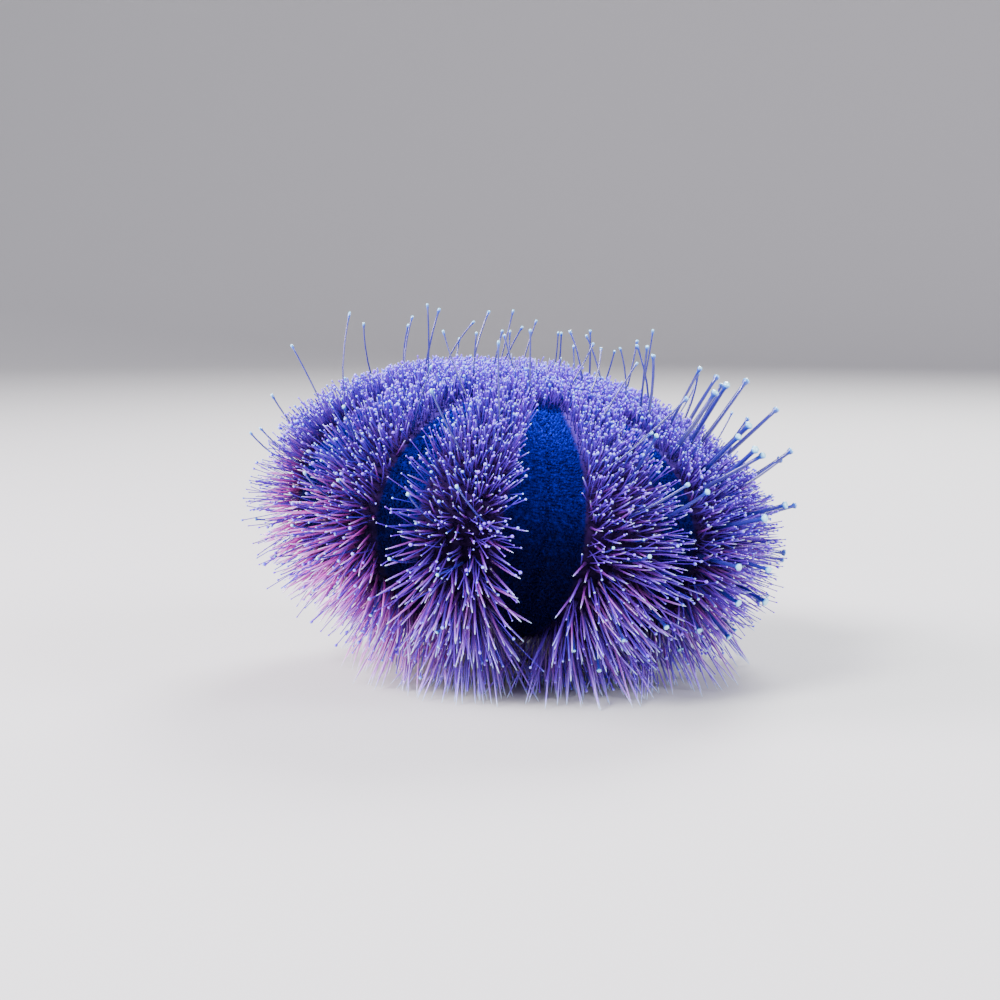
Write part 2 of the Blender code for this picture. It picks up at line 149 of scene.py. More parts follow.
# Tube feet, with stations and widths as for the spines
FOOT_STEP = 4.6
STOUT_FEET_CLOSER = 0.35
FOOT_TOP = math.radians(16)
FOOT_BOTTOM = math.radians(135)
FOOT_MARGIN = 0.4
FOOT_LENGTH = 6.6
FOOT_SHOULDER_LENGTH = 2.0
FOOT_LENGTH_SPREAD = (0.75, 1.1)
FOOT_RADIUS = 0.1
STOUT_FOOT_RADIUS = 0.24
STOUT_FEET_TURN = math.radians(68)
FOOT_STATIONS = [-0.03, 0.1, 0.3, 0.5, 0.7, 0.85, 0.93, 0.955, 0.985, 1.0]
FOOT_WIDTHS = np.array([1.3, 1.1, 1.0, 0.95, 0.9, 0.85, 0.9, 1.4, 1.6, 1.1])
FOOT_SIDEWAYS = (-0.1, 0.5)
FOOT_RISE = 0.35
FOOT_CURVE_JITTER = 0.06
FOOT_CLEARANCE = 0.6

# Papillae, which make the bare bands look like velvet
PAPILLA_STEP = 0.33
PAPILLA_HEIGHT = 0.22
PAPILLA_HEIGHT_SPREAD = (0.5, 1.3)
PAPILLA_STATIONS = [-0.3, 0.5, 1.0]
PAPILLA_RADII = np.array([0.11, 0.09, 0.03])
PAPILLA_RADIUS_SPREAD = (0.8, 1.2)
PAPILLA_JITTER = 0.25
PAPILLA_SHADE_SPREAD = (0.7, 1.1)

# The disc on top, and its short spines and stalks
DISC_RINGS = 24
DISC_FLARE = 1.03
DISC_RISE = 0.15
VENT_RISE = 0.65
VENT_WIDTH = 0.7
LARGE_PLATE = {"place": 1.75, "radius": 0.85}
SMALL_PLATE = {"place": 2.35, "radius": 0.5}
PLATE_RISE = 0.42
SIEVE_PLATE = 2
SIEVE_PLATE_SCALE = 1.2
DISC_COVER_ANGLE = np.radians(9.2)
DISC_COVER_LENGTHS = (1.7, 2.9)
DISC_COVER_JITTER = 0.15
DISC_SPINES = 70
DISC_STALKS = 110

# The membrane round the mouth, its short feet and the teeth
MEMBRANE_RINGS = 40
LIP_PLACE = 3.0
LIP_RISE = 0.4
LIP_WIDTH = 0.7
FOLD_HEIGHT = 0.06
FOLD_FREQUENCY = 14
MOUTH_FOOT_TURN = math.radians(13)
MOUTH_FOOT_PLACE = 3.7
MOUTH_FOOT_RADIUS = 0.42
MOUTH_FOOT_LENGTH = 0.85
TOOTH_RINGS = 9
TOOTH_SIDES = 10
TOOTH_WIDTH = 0.62
TOOTH_FLATNESS = 0.7
TOOTH_ROOT_PLACE = 1.25
TOOTH_SLANT = 1.0
TOOTH_ROOT_RISE = 0.6
TOOTH_LENGTH = 2.1

# Painted shade: how the skin and the papillae darken from the top down, standing in for the shade on the
# lower side
PAINTED_SHADE_ANGLES = np.radians([0, 30, 45, 58, 70, 80, 86, 95, 116, 180])
PAINTED_SHADE = [1.05, 1.05, 0.92, 0.62, 0.55, 0.38, 0.25, 0.13, 0.09, 0.06]

# The baked colours' map: a patch for each tuft and a free edge, as shares of the whole map
PATCH = 0.003
MAP_EDGE = 0.004

# Faces that close the start of a tube, for each number of its sides
CAP_FACES = {4: [[0, 3, 2, 1]], 6: [[0, 3, 2, 1], [0, 5, 4, 3]]}

# Paint, as linear colours at places from 0 to 1. Spines, stalks and tube feet are painted from root to tip
BAND_BLUE = [(0.35, (0.0005, 0.0003, 0.05)), (0.6, (0.002, 0.001, 0.2)), (0.75, (0.005, 0.004, 0.42))]
# Shaded and lit copies of the purple flesh under the spines: the dark one is painted shade between and
# below the spines, the pale one painted light at the top, and the last ramp lets the pale one show only
# near the top
SHADED_FLESH = [(0.3, (0.012, 0.003, 0.04)), (0.7, (0.05, 0.012, 0.12))]
LIT_FLESH = (0.1, 0.04, 0.4)
LIT_FLESH_AT_TOP = [(0.6, (0, 0, 0)), (1.0, (1, 1, 1))]
# Painted shade over the whole skin, from its darkest at 0 to its full colour at 1
DARKEST_TO_FULL = [(0.0, (0.04, 0.04, 0.04)), (1.0, (1, 1, 1))]
SHEEN_BLUE = (0.04, 0.02, 1, 1)
# The papillae's paint goes from dark to bright with their painted shade
PAPILLA_BLUE = [
    (0.0, (0.0001, 0.0001, 0.004)),
    (0.35, (0.0005, 0.0003, 0.045)),
    (0.75, (0.002, 0.001, 0.22)),
    (1.0, (0.004, 0.008, 0.6)),
]
# The near-black first stops of both spine paints are painted shade between the spines, over their maroon
# and violet roots
PINK_SPINE = [
    (0.0, (0.02, 0.002, 0.025)),
    (0.2, (0.22, 0.01, 0.18)),
    (0.55, (0.66, 0.07, 0.56)),
    (0.85, (0.85, 0.3, 0.85)),
    (0.98, (0.8, 0.85, 1.0)),
]
VIOLET_SPINE = [
    (0.0, (0.01, 0.002, 0.04)),
    (0.2, (0.04, 0.007, 0.15)),
    (0.6, (0.1, 0.018, 0.42)),
    (0.88, (0.24, 0.13, 0.9)),
    (0.98, (0.5, 0.72, 1.0)),
]
PALE_STALK = [
    (0.0, (0.03, 0.01, 0.22)),
    (0.45, (0.05, 0.03, 0.8)),
    (0.65, (0.05, 0.07, 1.0)),
    (0.85, (0.15, 0.42, 1.0)),
    (1.0, (0.55, 0.97, 1.0)),
]
DEEP_STALK = [
    (0.0, (0.05, 0.01, 0.2)),
    (0.45, (0.18, 0.02, 0.64)),
    (0.65, (0.19, 0.025, 0.85)),
    (0.85, (0.22, 0.05, 0.98)),
    (1.0, (0.38, 0.15, 1.0)),
]
FOOT_BLUE = [
    (0.0, (0.02, 0.01, 0.12)),
    (0.6, (0.02, 0.02, 0.26)),
    (0.8, (0.02, 0.07, 0.45)),
    (0.92, (0.15, 0.5, 0.9)),
    (1.0, (0.4, 0.85, 1.0)),
]
DISC_PAINT = [(0.3, (0.06, 0.02, 0.12)), (0.7, (0.3, 0.12, 0.4))]
MEMBRANE_PAINT = [(0.3, (0.10, 0.02, 0.08)), (0.7, (0.30, 0.10, 0.22))]
TOOTH_PAINT = [(0.3, (0.7, 0.66, 0.56)), (0.7, (0.86, 0.84, 0.78))]
MOTTLE_SCALE = 2600
FLESH_SCALE = 1400
SKIN_BUMP_SCALE = 3500
BUMP_DISTANCE = 0.0001

# The studio, in metres: the floor's flat part, the sweep at its edge, and the lights
FLOOR_REACH = 0.55
SWEEP_RADIUS = 0.35
FLOOR_GREY = (0.55, 0.545, 0.54, 1)
WORLD_COLOUR = (0.84, 0.84, 1.0, 1)
WORLD_STRENGTH = 0.4
LIGHTS = {
    "key": {"place": (-0.23, -0.21, 0.32), "size": 0.14, "power": 4.4, "colour": (1, 1, 1)},
    "fill": {"place": (0.34, -0.12, 0.2), "size": 0.2, "power": 2.5, "colour": (0.85, 0.84, 1.0)},
    "left": {"place": (-0.34, 0.0, 0.2), "size": 0.2, "power": 3.6, "colour": (0.98, 0.86, 1.0)},
    "back": {"place": (0.1, 0.3, 0.28), "size": 0.15, "power": 3.0, "colour": (1, 1, 1)},
}

# The camera, set from the photo: its distance, its height as an angle, and the test's place in the frame
PHOTO_PIXELS = 1000
FRAME_WIDTH = 99.1
TEST_CENTRE_PIXEL = (521, 512)
CAMERA_DISTANCE = 198.0
CAMERA_ELEVATION = math.radians(7)
SENSOR_WIDTH = 36.0

STANCE = np.array(Matrix.Translation((*AXIS_OFFSET, WIDEST_HEIGHT)) @ Matrix.Rotation(LEAN, 4, "Y"))
MOUTH_ANGLE = math.pi - math.asin((MOUTH_RADIUS / TEST_RADIUS) ** (1 / BASE_SQUARENESS))


def profile(angle):
    """Radius and height of the test's surface."""
    angle = np.asarray(angle, float)
    sine = np.clip(np.sin(angle), 1e-9, 1)
    upper = angle <= np.pi / 2
    bulge = 1 + SHOULDER_BULGE * np.sin(2 * angle) ** 2
    radius = TEST_RADIUS * np.where(upper, bulge * sine, sine ** BASE_SQUARENESS)
    height = np.cos(angle) * np.where(upper, bulge * CROWN_HEIGHT, BASE_DEPTH)
    return radius, height


def outward(turn):
    """Level direction away from the axis."""
    return np.stack([np.sin(turn), -np.cos(turn), np.zeros_like(turn)], axis=-1)


def surface(angle, turn):
    """Points on the smooth test."""
    radius, height = profile(angle)
    points = outward(turn) * radius[..., None]
    points[..., 2] = height
    return points


def frames(angle, turn):
    """The surface's normal, the direction of larger turns, and the direction to the top."""
    step = 1e-4
    (r0, z0), (r1, z1) = profile(angle - step), profile(angle + step)
    slope = np.stack([r1 - r0, z1 - z0], axis=-1)
    slope /= np.linalg.norm(slope, axis=-1, keepdims=True)
    out = outward(turn)
    down = out * slope[..., :1]
    down[..., 2] = slope[..., 1]
    normal = out * -slope[..., 1:]
    normal[..., 2] = slope[..., 0]
    return normal, outward(turn + np.pi / 2), -down


def arc_table():
    """Angles down the test, and the length of the surface from the top to each."""
    angles = np.linspace(0.0, np.pi, 2001)
    radius, height = profile(angles)
    lengths = np.hypot(np.diff(radius), np.diff(height))
    return angles, np.concatenate([[0.0], np.cumsum(lengths)])


ARC_ANGLES, ARC_LENGTHS = arc_table()


def unwrapped(angle, turn):
    """Place on the flat map of the skin: across by turn, and up by length along the surface."""
    across = (turn / math.tau) % 1.0
    down = np.interp(angle, ARC_ANGLES, ARC_LENGTHS) / ARC_LENGTHS[-1]
    return MAP_EDGE + np.stack([across, 1 - down], axis=-1) * (1 - 2 * MAP_EDGE)


def to_world(points):
    """From millimetres in the test's frame to metres on the floor."""
    return (points @ STANCE[:3, :3].T + STANCE[:3, 3]) * MM


def height_over_floor(points):
    return points @ STANCE[2, :3] + STANCE[2, 3]


def band_size(number):
    return NARROW_BAND if number % 2 else WIDE_BAND


def band_turn(number):
    return FIRST_WIDE_BAND + number * math.pi / RAYS


def half_angle(number, angle):
    """Half of a bare band's turn."""
    size = band_size(number)
    along = np.clip((angle - size["top"]) / (size["bottom"] - size["top"]), 0, 1)
    return size["half_angle"] * np.sin(np.pi * along) ** BAND_FULLNESS


def nearest_band(turn):
    """Number of the bare band whose middle is nearest, and the turn past that middle."""
    number = np.round((turn - FIRST_WIDE_BAND) / (np.pi / RAYS))
    return number, turn - FIRST_WIDE_BAND - number * np.pi / RAYS


def bareness(angle, turn):
    """Distance inside a bare band, in millimetres. It is negative on the spine bands."""
    number, past = nearest_band(turn)
    half = np.where(number % 2 == 1, half_angle(1, angle), half_angle(0, angle))
    return (half - np.abs(past)) * profile(angle)[0]


def new_object(name, points, quads, replaced=(), maps=None, values=None):
    """A piece from points in millimetres and four-cornered faces, with its maps and its point values."""
    data = bpy.data.meshes.new(name)
    data.vertices.add(len(points))
    data.vertices.foreach_set("co", to_world(points).astype(np.float32).ravel())
    data.loops.add(quads.size)
    data.loops.foreach_set("vertex_index", quads.astype(np.int32).ravel())
    data.polygons.add(len(quads))
    data.polygons.foreach_set("loop_start", np.arange(0, quads.size, 4, dtype=np.int32))
    data.polygons.foreach_set("use_smooth", np.full(len(quads), True))
    data.update(calc_edges=True)
    data.validate()
    if maps is not None:
        layer = data.uv_layers.new(name="OFBake")
        layer.data.foreach_set("uv", maps.astype(np.float32).ravel())
    for key, value in (values or {}).items():
        layer = data.attributes.new(key, "FLOAT", "POINT")
        layer.data.foreach_set("value", value.astype(np.float32).ravel())
    piece = bpy.data.objects.new(name, data)
    bpy.context.scene.collection.objects.link(piece)
    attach(piece, "root")
    if replaced:
        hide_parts(*replaced)
    return piece


def tube_points(paths, radii, sides):
    """A ring of points round each station of each tube."""
    chord = paths[:, -1] - paths[:, 0]
    chord /= np.linalg.norm(chord, axis=1, keepdims=True)
    helper = np.where(np.abs(chord[:, 2:]) < 0.9, [[0.0, 0.0, 1.0]], [[1.0, 0.0, 0.0]])
    first = np.cross(chord, helper)
    first /= np.linalg.norm(first, axis=1, keepdims=True)
    second = np.cross(chord, first)
    spin = np.arange(sides) * math.tau / sides
    ring = first[:, None] * np.cos(spin)[None, :, None] + second[:, None] * np.sin(spin)[None, :, None]
    return paths[:, :, None] + ring[:, None] * radii[:, :, None, None]


def tube_faces(stations, sides):
    """Faces of one closed tube: its wall, then the caps at its start and its end."""
    i = np.arange(sides)
    j = (i + 1) % sides
    wall = np.stack([i, j, j + sides, i + sides], axis=1)
    walls = (wall[None] + np.arange(stations - 1)[:, None, None] * sides).reshape(-1, 4)
    last = (stations - 1) * sides
    end = [[last + corner for corner in reversed(face)] for face in CAP_FACES[sides]]
    return np.concatenate([walls, CAP_FACES[sides], end])


def tube_map(share, sides):
    """Corners of one tube's faces on its patch, from the patch's middle.

    Across the patch is round the tube, and up the patch is along the tube.
    """
    i = np.arange(sides)
    column = np.stack([i, i + 1, i + 1, i], axis=1) / sides
    row = np.stack([share[:-1], share[:-1], share[1:], share[1:]], axis=1)
    wall = np.stack(np.broadcast_arrays(column[None], row[:, None]), axis=-1).reshape(-1, 4, 2)
    cap = np.zeros((len(CAP_FACES[sides]), 4, 2)) + [0.5, 0.0]
    return (np.concatenate([wall, cap, cap + [0.0, 1.0]]) - 0.5) * PATCH


def tufts(name, paths, radii, angle, turn, tint, sides=6, shares=None):
    """Closed tubes along paths (tuft, station, xyz), with a radius at each station, as one piece.

    Each tube's map is a patch at its root's place.
    """
    count, stations, _ = paths.shape
    points = tube_points(paths, radii, sides)
    one = tube_faces(stations, sides)
    quads = (one[None] + np.arange(count)[:, None, None] * stations * sides).reshape(-1, 4)
    share = np.linspace(0, 1, stations) if shares is None else np.clip(shares, 0, 1)
    maps = unwrapped(angle, turn)[:, None, None] + tube_map(share, sides)[None]
    along = np.broadcast_to(share[None, :, None], (count, stations, sides))
    shade = np.broadcast_to(tint[:, None, None], (count, stations, sides))
    values = {"along": along, "tint": shade}
    return new_object(name, points.reshape(-1, 3), quads, maps=maps, values=values)


def scatter(left_edge, right_edge, first, last, step, margin, rng):
    """Roots in staggered rows between two edges: angle, turn, and place across from -1 to 1."""
    found = []
    angle = first
    row = 0
    while angle < last:
        radius = float(profile(angle)[0])
        left = left_edge(angle) + margin / radius
        right = right_edge(angle) - margin / radius
        width = (right - left) * radius
        if width > 0:
            count = max(1, int(width / step + 0.5))
            offset = 0.25 + 0.5 * (row % 2)
            across = (np.arange(count) + offset) / count
            across = across + rng.uniform(-JITTER_ACROSS, JITTER_ACROSS, count) / count
            across = np.clip(across, 0, 1)
            down = angle + rng.uniform(-JITTER_DOWN, JITTER_DOWN, count) * step / TEST_RADIUS
            found.append(np.stack([down, left + (right - left) * across, across * 2 - 1], axis=1))
        arc = np.interp(angle, ARC_ANGLES, ARC_LENGTHS) + step * ROW_SPACING
        angle = float(np.interp(arc, ARC_LENGTHS, ARC_ANGLES))
        row += 1
    return np.concatenate(found).T


def band_edge(number, side, covered_to=0.0):
    """One side of a bare band, as its turn at an angle: the band's middle down to covered_to."""
    middle = band_turn(number)

    def edge(angle):
        return middle + side * half_angle(number, angle) * (angle > covered_to)
    return edge


def spine_band_edges(number):
    return band_edge(number, 1), band_edge(number + 1, -1)


def haze_edges(number):
    """The spine band's edges, but over the top end of each bare band beside it."""
    beside = ((number, 1), (number + 1, -1))
    return [band_edge(band, side, band_size(band)["top"] + COVERED_TOP) for band, side in beside]


def upper_share(angle):
    """1 near the top, falling to 0 on the lower side."""
    return np.clip(1.3 - angle / (np.pi / 2), 0, 1)


def spine_length(angle, turn):
    """Longer lower down, and short on the shoulder on the viewer's right."""
    shoulder = np.clip(np.cos(turn - SHORT_COAT_TURN), 0, 1) * np.sin(np.clip(2 * angle, 0, np.pi))
    return np.interp(angle, SPINE_LENGTH_ANGLES, SPINE_LENGTHS) * (1 - SHORT_COAT_SHARE * shoulder)


def fan(number, across):
    """Sideways lean of what stands on a spine band, at places across it from -1 to 1."""
    return np.interp(across, [-1, 1], FRONT_FANS.get(number, SPINE_FAN))


def openness(angle):
    """How far the fans of spines open: little near the top, and fully from the widest part down."""
    return np.where(angle < np.pi / 2, np.sin(angle) ** 2, 1.0)


def leaning(angle, turn, sideways, upwards):
    """Directions that lean from the surface's normal by two angles."""
    normal, across, up = frames(angle, turn)
    way = normal + across * np.tan(sideways)[:, None] + up * np.tan(upwards)[:, None]
    return way / np.linalg.norm(way, axis=1, keepdims=True)


def above_floor(root, way, length, clearance):
    """Length that ends above the floor."""
    drop = np.maximum(-(way @ STANCE[2, :3]), 1e-6)
    return np.minimum(length, height_over_floor(root) / drop - clearance)


def never_down(bend):
    """A bend without its part that points to the floor."""
    rise = STANCE[2, :3]
    return bend - np.minimum(bend @ rise, 0)[:, None] * rise


def path_of(root, way, bend, length, shares):
    """Stations along a tuft that starts along way and bends off by bend at its tip."""
    shares = np.asarray(shares)[None, :, None]
    bend = never_down(bend)
    span = length[:, None, None] * shares
    bent = bend[:, None] * (shares * np.abs(shares)) * length[:, None, None]
    return root[:, None] + way[:, None] * span + bent


def spines(number):
    """One band's spines. Those that point steeply down stand on the floor."""
    rng = np.random.default_rng(100 + number)
    edges = spine_band_edges(number)
    angle, turn, across = scatter(*edges, SPINE_TOP, SPINE_BOTTOM, SPINE_STEP, SPINE_MARGIN, rng)
    count = len(angle)
    edgeward = SPINE_FAN[1] * (across ** 3 - EDGE_PARTING * across)
    sideways = (fan(number, across) + edgeward) * openness(angle) + rng.normal(0, SPINE_JITTER, count)
    way = leaning(angle, turn, sideways, rng.normal(0, SPINE_JITTER, count))
    root = surface(angle, turn)
    length = spine_length(angle, turn) * rng.uniform(*SPINE_LENGTH_SPREAD, count)
    drop = -(way @ STANCE[2, :3])
    reach = height_over_floor(root) / np.maximum(drop, 1e-6)
    standing = (drop > STANDING_SLOPE) & (reach < STANDING_LONGEST)
    free_length = above_floor(root, way, length, SPINE_CLEARANCE)
    length = np.where(standing, reach - SPINE_RADIUS, free_length)
    curve = frames(angle, turn)[2] * SPINE_CURVE + rng.normal(0, SPINE_CURVE_JITTER, (count, 3))
    bend = np.where(standing[:, None], 0.0, curve)
    name = f"spines_{number + 1:02d}"
    return spine_tufts(name, angle, turn, root, way, bend, length, rng)


def violet_share(angle, turn):
    """Most at the top and low down, and least low on the viewer's left, where the spines are pink. The
    darker violet paint low down is painted shade.
    """
    left_flank = np.clip(-1.6 * np.sin(turn) - 0.5, 0, 1) * np.clip(3 * angle - 3.6, 0, 1)
    # Painted shade: the lowest spines turn to the darker violet paint
    low = np.clip(2 * angle - 3.8, 0, 1)
    return 0.47 + 0.5 * upper_share(angle) + 0.3 * low - 0.85 * left_flank


def spine_tufts(name, angle, turn, root, way, bend, length, rng):
    """Spines with a thicker base, tapering to a point."""
    count = len(angle)
    thick = SPINE_RADIUS * (1 - 0.3 * upper_share(angle)) * rng.uniform(*THICKNESS_SPREAD, count)
    radii = thick[:, None] * SPINE_WIDTHS[None]
    paths = path_of(root, way, bend, length, SPINE_STATIONS)
    violet = np.clip(violet_share(angle, turn) + 0.5 * rng.random(count), 0, 1)
    return tufts(name, paths, radii, angle, turn, violet, shares=SPINE_STATIONS)


def stalk_share(angle, turn):
    """Share of the stalks that is kept: all near the top, most on the side shoulders, and few low down."""
    flank = np.clip(2.2 * np.abs(np.sin(turn)) - 1.2, 0, 1) * np.clip(4.4 - 2.6 * angle, 0, 1)
    return LOW_STALKS + (1 - LOW_STALKS) * np.maximum(upper_share(angle), FLANK_STALKS * flank)


def stalks(number):
    """The haze of small beaded stalks, thickest on the upper half."""
    rng = np.random.default_rng(200 + number)
    edges = haze_edges(number)
    angle, turn, across = scatter(*edges, STALK_TOP, STALK_BOTTOM, STALK_STEP, STALK_MARGIN, rng)
    kept = rng.random(len(angle)) < stalk_share(angle, turn)
    angle, turn, across = angle[kept], turn[kept], across[kept]
    count = len(angle)
    sideways = fan(number, across) * openness(angle) + rng.normal(0, STALK_JITTER, count)
    way = leaning(angle, turn, sideways, rng.normal(STALK_RISE, STALK_RISE_JITTER, count))
    root = surface(angle, turn)
    length = spine_length(angle, turn) * rng.uniform(*STALK_LENGTH_SPREAD, count) + STALK_PAST_SPINES
    length = above_floor(root, way, length, STALK_CLEARANCE)
    return stalk_tufts(f"stalks_{number + 1:02d}", angle, turn, root, way, length, rng)


def stalk_tufts(name, angle, turn, root, way, length, rng):
    """Thin stalks, each with a bead on its end."""
    count = len(angle)
    bend = never_down(rng.normal(0, STALK_CURVE_JITTER, (count, 3)))
    bead = BEAD_RADIUS * (BEAD_SMALLEST + BEAD_GROWTH * rng.random(count) ** 4)
    tip = bead / length
    stem = np.full(count, STALK_RADIUS)
    same = np.ones(count)
    shares = [same * -0.05, same * 0.45, 1 - 2.3 * tip, 1 - 1.5 * tip, 1 - 0.7 * tip, same]
    shares = np.stack(shares, axis=1)
    radii = np.stack([stem * 1.3, stem, stem, bead * 0.85, bead, bead * 0.4], axis=1)
    span = length[:, None, None] * shares[:, :, None]
    paths = root[:, None] + way[:, None] * span + bend[:, None] * span * np.abs(shares[:, :, None])
    pale_or_deep = rng.random(count) ** 0.45
    return tufts(name, paths, radii, angle, turn, pale_or_deep)


def stoutness(angle, turn):
    """1 where the tube feet are stout, on the viewer's right, and 0 over the rest of the test."""
    return np.clip(np.cos(turn - STOUT_FEET_TURN) * 4 - 2.6, 0, 1) * np.clip(angle * 3 - 1.5, 0, 1)


def foot_length(angle):
    """Longest on the shoulder."""
    longest = FOOT_LENGTH + FOOT_SHOULDER_LENGTH * np.sin(2 * angle)
    return longest * (0.8 + 0.25 * np.clip(angle, 0, 0.8))


def tube_feet(number):
    """Long soft feet beside the narrow bare band, each with a sucker disc."""
    rng = np.random.default_rng(300 + number)
    edges = spine_band_edges(number)
    middle = (edges[0](0.5) + edges[1](0.5)) / 2
    step = FOOT_STEP * (1 - STOUT_FEET_CLOSER * stoutness(1.0, middle))
    angle, turn, _ = scatter(*edges, FOOT_TOP, FOOT_BOTTOM, step, FOOT_MARGIN, rng)
    count = len(angle)
    to_narrow_band = 1 if number % 2 == 0 else -1
    sideways = to_narrow_band * rng.uniform(*FOOT_SIDEWAYS, count)
    stout = stoutness(angle, turn)
    way = leaning(angle, turn, sideways, rng.uniform(0, FOOT_RISE, count) * (1 - stout))
    root = surface(angle, turn)
    length = foot_length(angle) * rng.uniform(*FOOT_LENGTH_SPREAD, count)
    length = above_floor(root, way, length, FOOT_CLEARANCE)
    rise = frames(angle, turn)[2] * (rng.uniform(0.0, FOOT_RISE, count) * (1 - stout))[:, None]
    bend = rise + rng.normal(0, FOOT_CURVE_JITTER, (count, 3))
    thick = FOOT_RADIUS + (STOUT_FOOT_RADIUS - FOOT_RADIUS) * stout
    thick = thick * rng.uniform(*THICKNESS_SPREAD, count)
    radii = thick[:, None] * FOOT_WIDTHS[None]
    paths = path_of(root, way, bend, length, FOOT_STATIONS)
    name = f"tube_feet_{number + 1:02d}"
    return tufts(name, paths, radii, angle, turn, rng.random(count))


def papillae(number):
    """Short papillae over a bare band, their colour darkened down the test as painted shade."""
    rng = np.random.default_rng(400 + number)
    edges = band_edge(number, -1), band_edge(number, 1)
    size = band_size(number)
    angle, turn, _ = scatter(*edges, size["top"], size["bottom"], PAPILLA_STEP, 0.0, rng)
    count = len(angle)
    way = leaning(angle, turn, rng.normal(0, PAPILLA_JITTER, count), rng.normal(0, PAPILLA_JITTER, count))
    root = surface(angle, turn) - way * BAND_DIP
    length = PAPILLA_HEIGHT * rng.uniform(*PAPILLA_HEIGHT_SPREAD, count)
    radii = PAPILLA_RADII[None] * rng.uniform(*PAPILLA_RADIUS_SPREAD, count)[:, None]
    paths = path_of(root, way, np.zeros((count, 3)), length, PAPILLA_STATIONS)
    # Painted shade: the papillae darken down the test, with a random spread of tone
    shade = np.interp(angle, PAINTED_SHADE_ANGLES, PAINTED_SHADE) * rng.uniform(*PAPILLA_SHADE_SPREAD, count)
    return tufts(f"papillae_{number + 1:02d}", paths, radii, angle, turn, shade, sides=4)


def grid_quads(rows, columns):
    """Faces between rows of points that go all the way round."""
    i = np.arange(rows - 1)[:, None]
    j = np.arange(columns)[None]
    after = (j + 1) % columns
    here, below = i * columns, (i + 1) * columns
    return np.stack([here + j, below + j, below + after, here + after], -1).reshape(-1, 4)


def skin():
    """One skin over the whole test, from the disc to the mouth."""
    angle = np.linspace(SKIN_TOP, MOUTH_ANGLE + SKIN_PAST_MOUTH, SKIN_ROWS)
    turn = np.arange(SKIN_COLUMNS) * math.tau / SKIN_COLUMNS
    angles, turns = np.meshgrid(angle, turn, indexing="ij")
    inside = bareness(angles, turns)
    low = np.clip(inside / BAND_EDGE + 0.5, 0, 1)
    off = nearest_band(turns)[1] * profile(angles)[0]
    groove = np.exp(-(off / GROOVE_WIDTH) ** 2) * np.clip(inside, 0, 1)
    ripple = np.sin(angles * RIPPLE_FREQUENCY) * (1 - low)
    relief = RIPPLE_HEIGHT * ripple - BAND_DIP * low - GROOVE_DEPTH * groove
    points = surface(angles, turns) + frames(angles, turns)[0] * relief[..., None]
    quads = grid_quads(SKIN_ROWS, SKIN_COLUMNS)
    places = unwrapped(angles, turns).reshape(-1, 2)[quads]
    seam = places[:, 2:, 0] < places[:, :2, 0]
    places[:, 2:, 0] += seam * (1 - 2 * MAP_EDGE)
    values = {
        "blue": np.clip(inside / PAINT_EDGE + 0.5, 0, 1),
        # Painted shade down the test, carried to the skin's paint
        "painted_shade": np.interp(angles, PAINTED_SHADE_ANGLES, PAINTED_SHADE),
    }
    nodes = [f"{kind}_{i + 1:02d}" for kind in ("blue_band", "spine_band") for i in range(2 * RAYS)]
    return new_object("skin", points.reshape(-1, 3), quads, nodes, maps=places, values=values)


def dome(centre, radius, height, steps=7, sides=12):
    """A low dome as rings, from its edge to its top."""
    share = np.linspace(0, 0.97, steps) * np.pi / 2
    spin = np.arange(sides) * math.tau / sides
    rim = np.cos(share)[:, None] * radius
    rise = np.sin(share)[:, None] * height + 0 * spin
    return np.stack([np.cos(spin) * rim, np.sin(spin) * rim, rise], -1) + centre


def turned(outline, columns=96):
    """Rings of points round the test's axis."""
    outline = np.asarray(outline, float)
    turn = np.arange(columns) * math.tau / columns
    rings = outward(turn)[None] * outline[:, None, :1]
    rings[..., 2] += outline[:, 1:]
    return rings


def joined(name, pieces, replaced):
    """One piece from several sets of rings."""
    points, quads, start = [], [], 0
    for rings in pieces:
        rows, columns, _ = rings.shape
        points.append(rings.reshape(-1, 3))
        quads.append(grid_quads(rows, columns) + start)
        start += rows * columns
    return new_object(name, np.concatenate(points), np.concatenate(quads), replaced)


def apical_disc():
    """Plates round the vent: large ones and small ones in turn, the largest being the sieve plate."""
    height = float(profile(math.asin(DISC_RADIUS / TEST_RADIUS))[1])
    share = np.linspace(0.02, 1, DISC_RINGS)
    rise = DISC_RISE + VENT_RISE * np.exp(-(share * DISC_RADIUS / VENT_WIDTH) ** 2)
    outline = np.stack([share * DISC_RADIUS * DISC_FLARE, height + rise * (1 - share ** 6)], axis=1)
    pieces = [turned(outline)]
    for i in range(2 * RAYS):
        plate = SMALL_PLATE if i % 2 else LARGE_PLATE
        radius = plate["radius"] * (SIEVE_PLATE_SCALE if i == SIEVE_PLATE else 1)
        centre = outward(np.array(band_turn(i))) * plate["place"] + [0, 0, height + 0.1]
        pieces.append(dome(centre, radius, PLATE_RISE))
    return joined("disc_plates", pieces, ["apical_disc"])


def on_disc(count):
    """Roots, directions and lengths of short tufts on the disc, clear of the vent, and their generator."""
    rng = np.random.default_rng(count)
    angle = DISC_COVER_ANGLE * np.sqrt(rng.uniform(0.1, 1, count))
    turn = rng.uniform(0, math.tau, count)
    lean = rng.normal(0, DISC_COVER_JITTER, (2, count))
    way = leaning(angle, turn, lean[0], lean[1])
    return angle, turn, surface(angle, turn), way, rng.uniform(*DISC_COVER_LENGTHS, count), rng


def disc_spines():
    angle, turn, root, way, length, rng = on_disc(DISC_SPINES)
    bend = rng.normal(0, 0.03, (DISC_SPINES, 3))
    return spine_tufts("disc_spines", angle, turn, root, way, bend, length, rng)


def disc_stalks():
    angle, turn, root, way, length, rng = on_disc(DISC_STALKS)
    return stalk_tufts("disc_stalks", angle, turn, root, way, length, rng)


def mouth_depth():
    return -float(profile(MOUTH_ANGLE)[1])


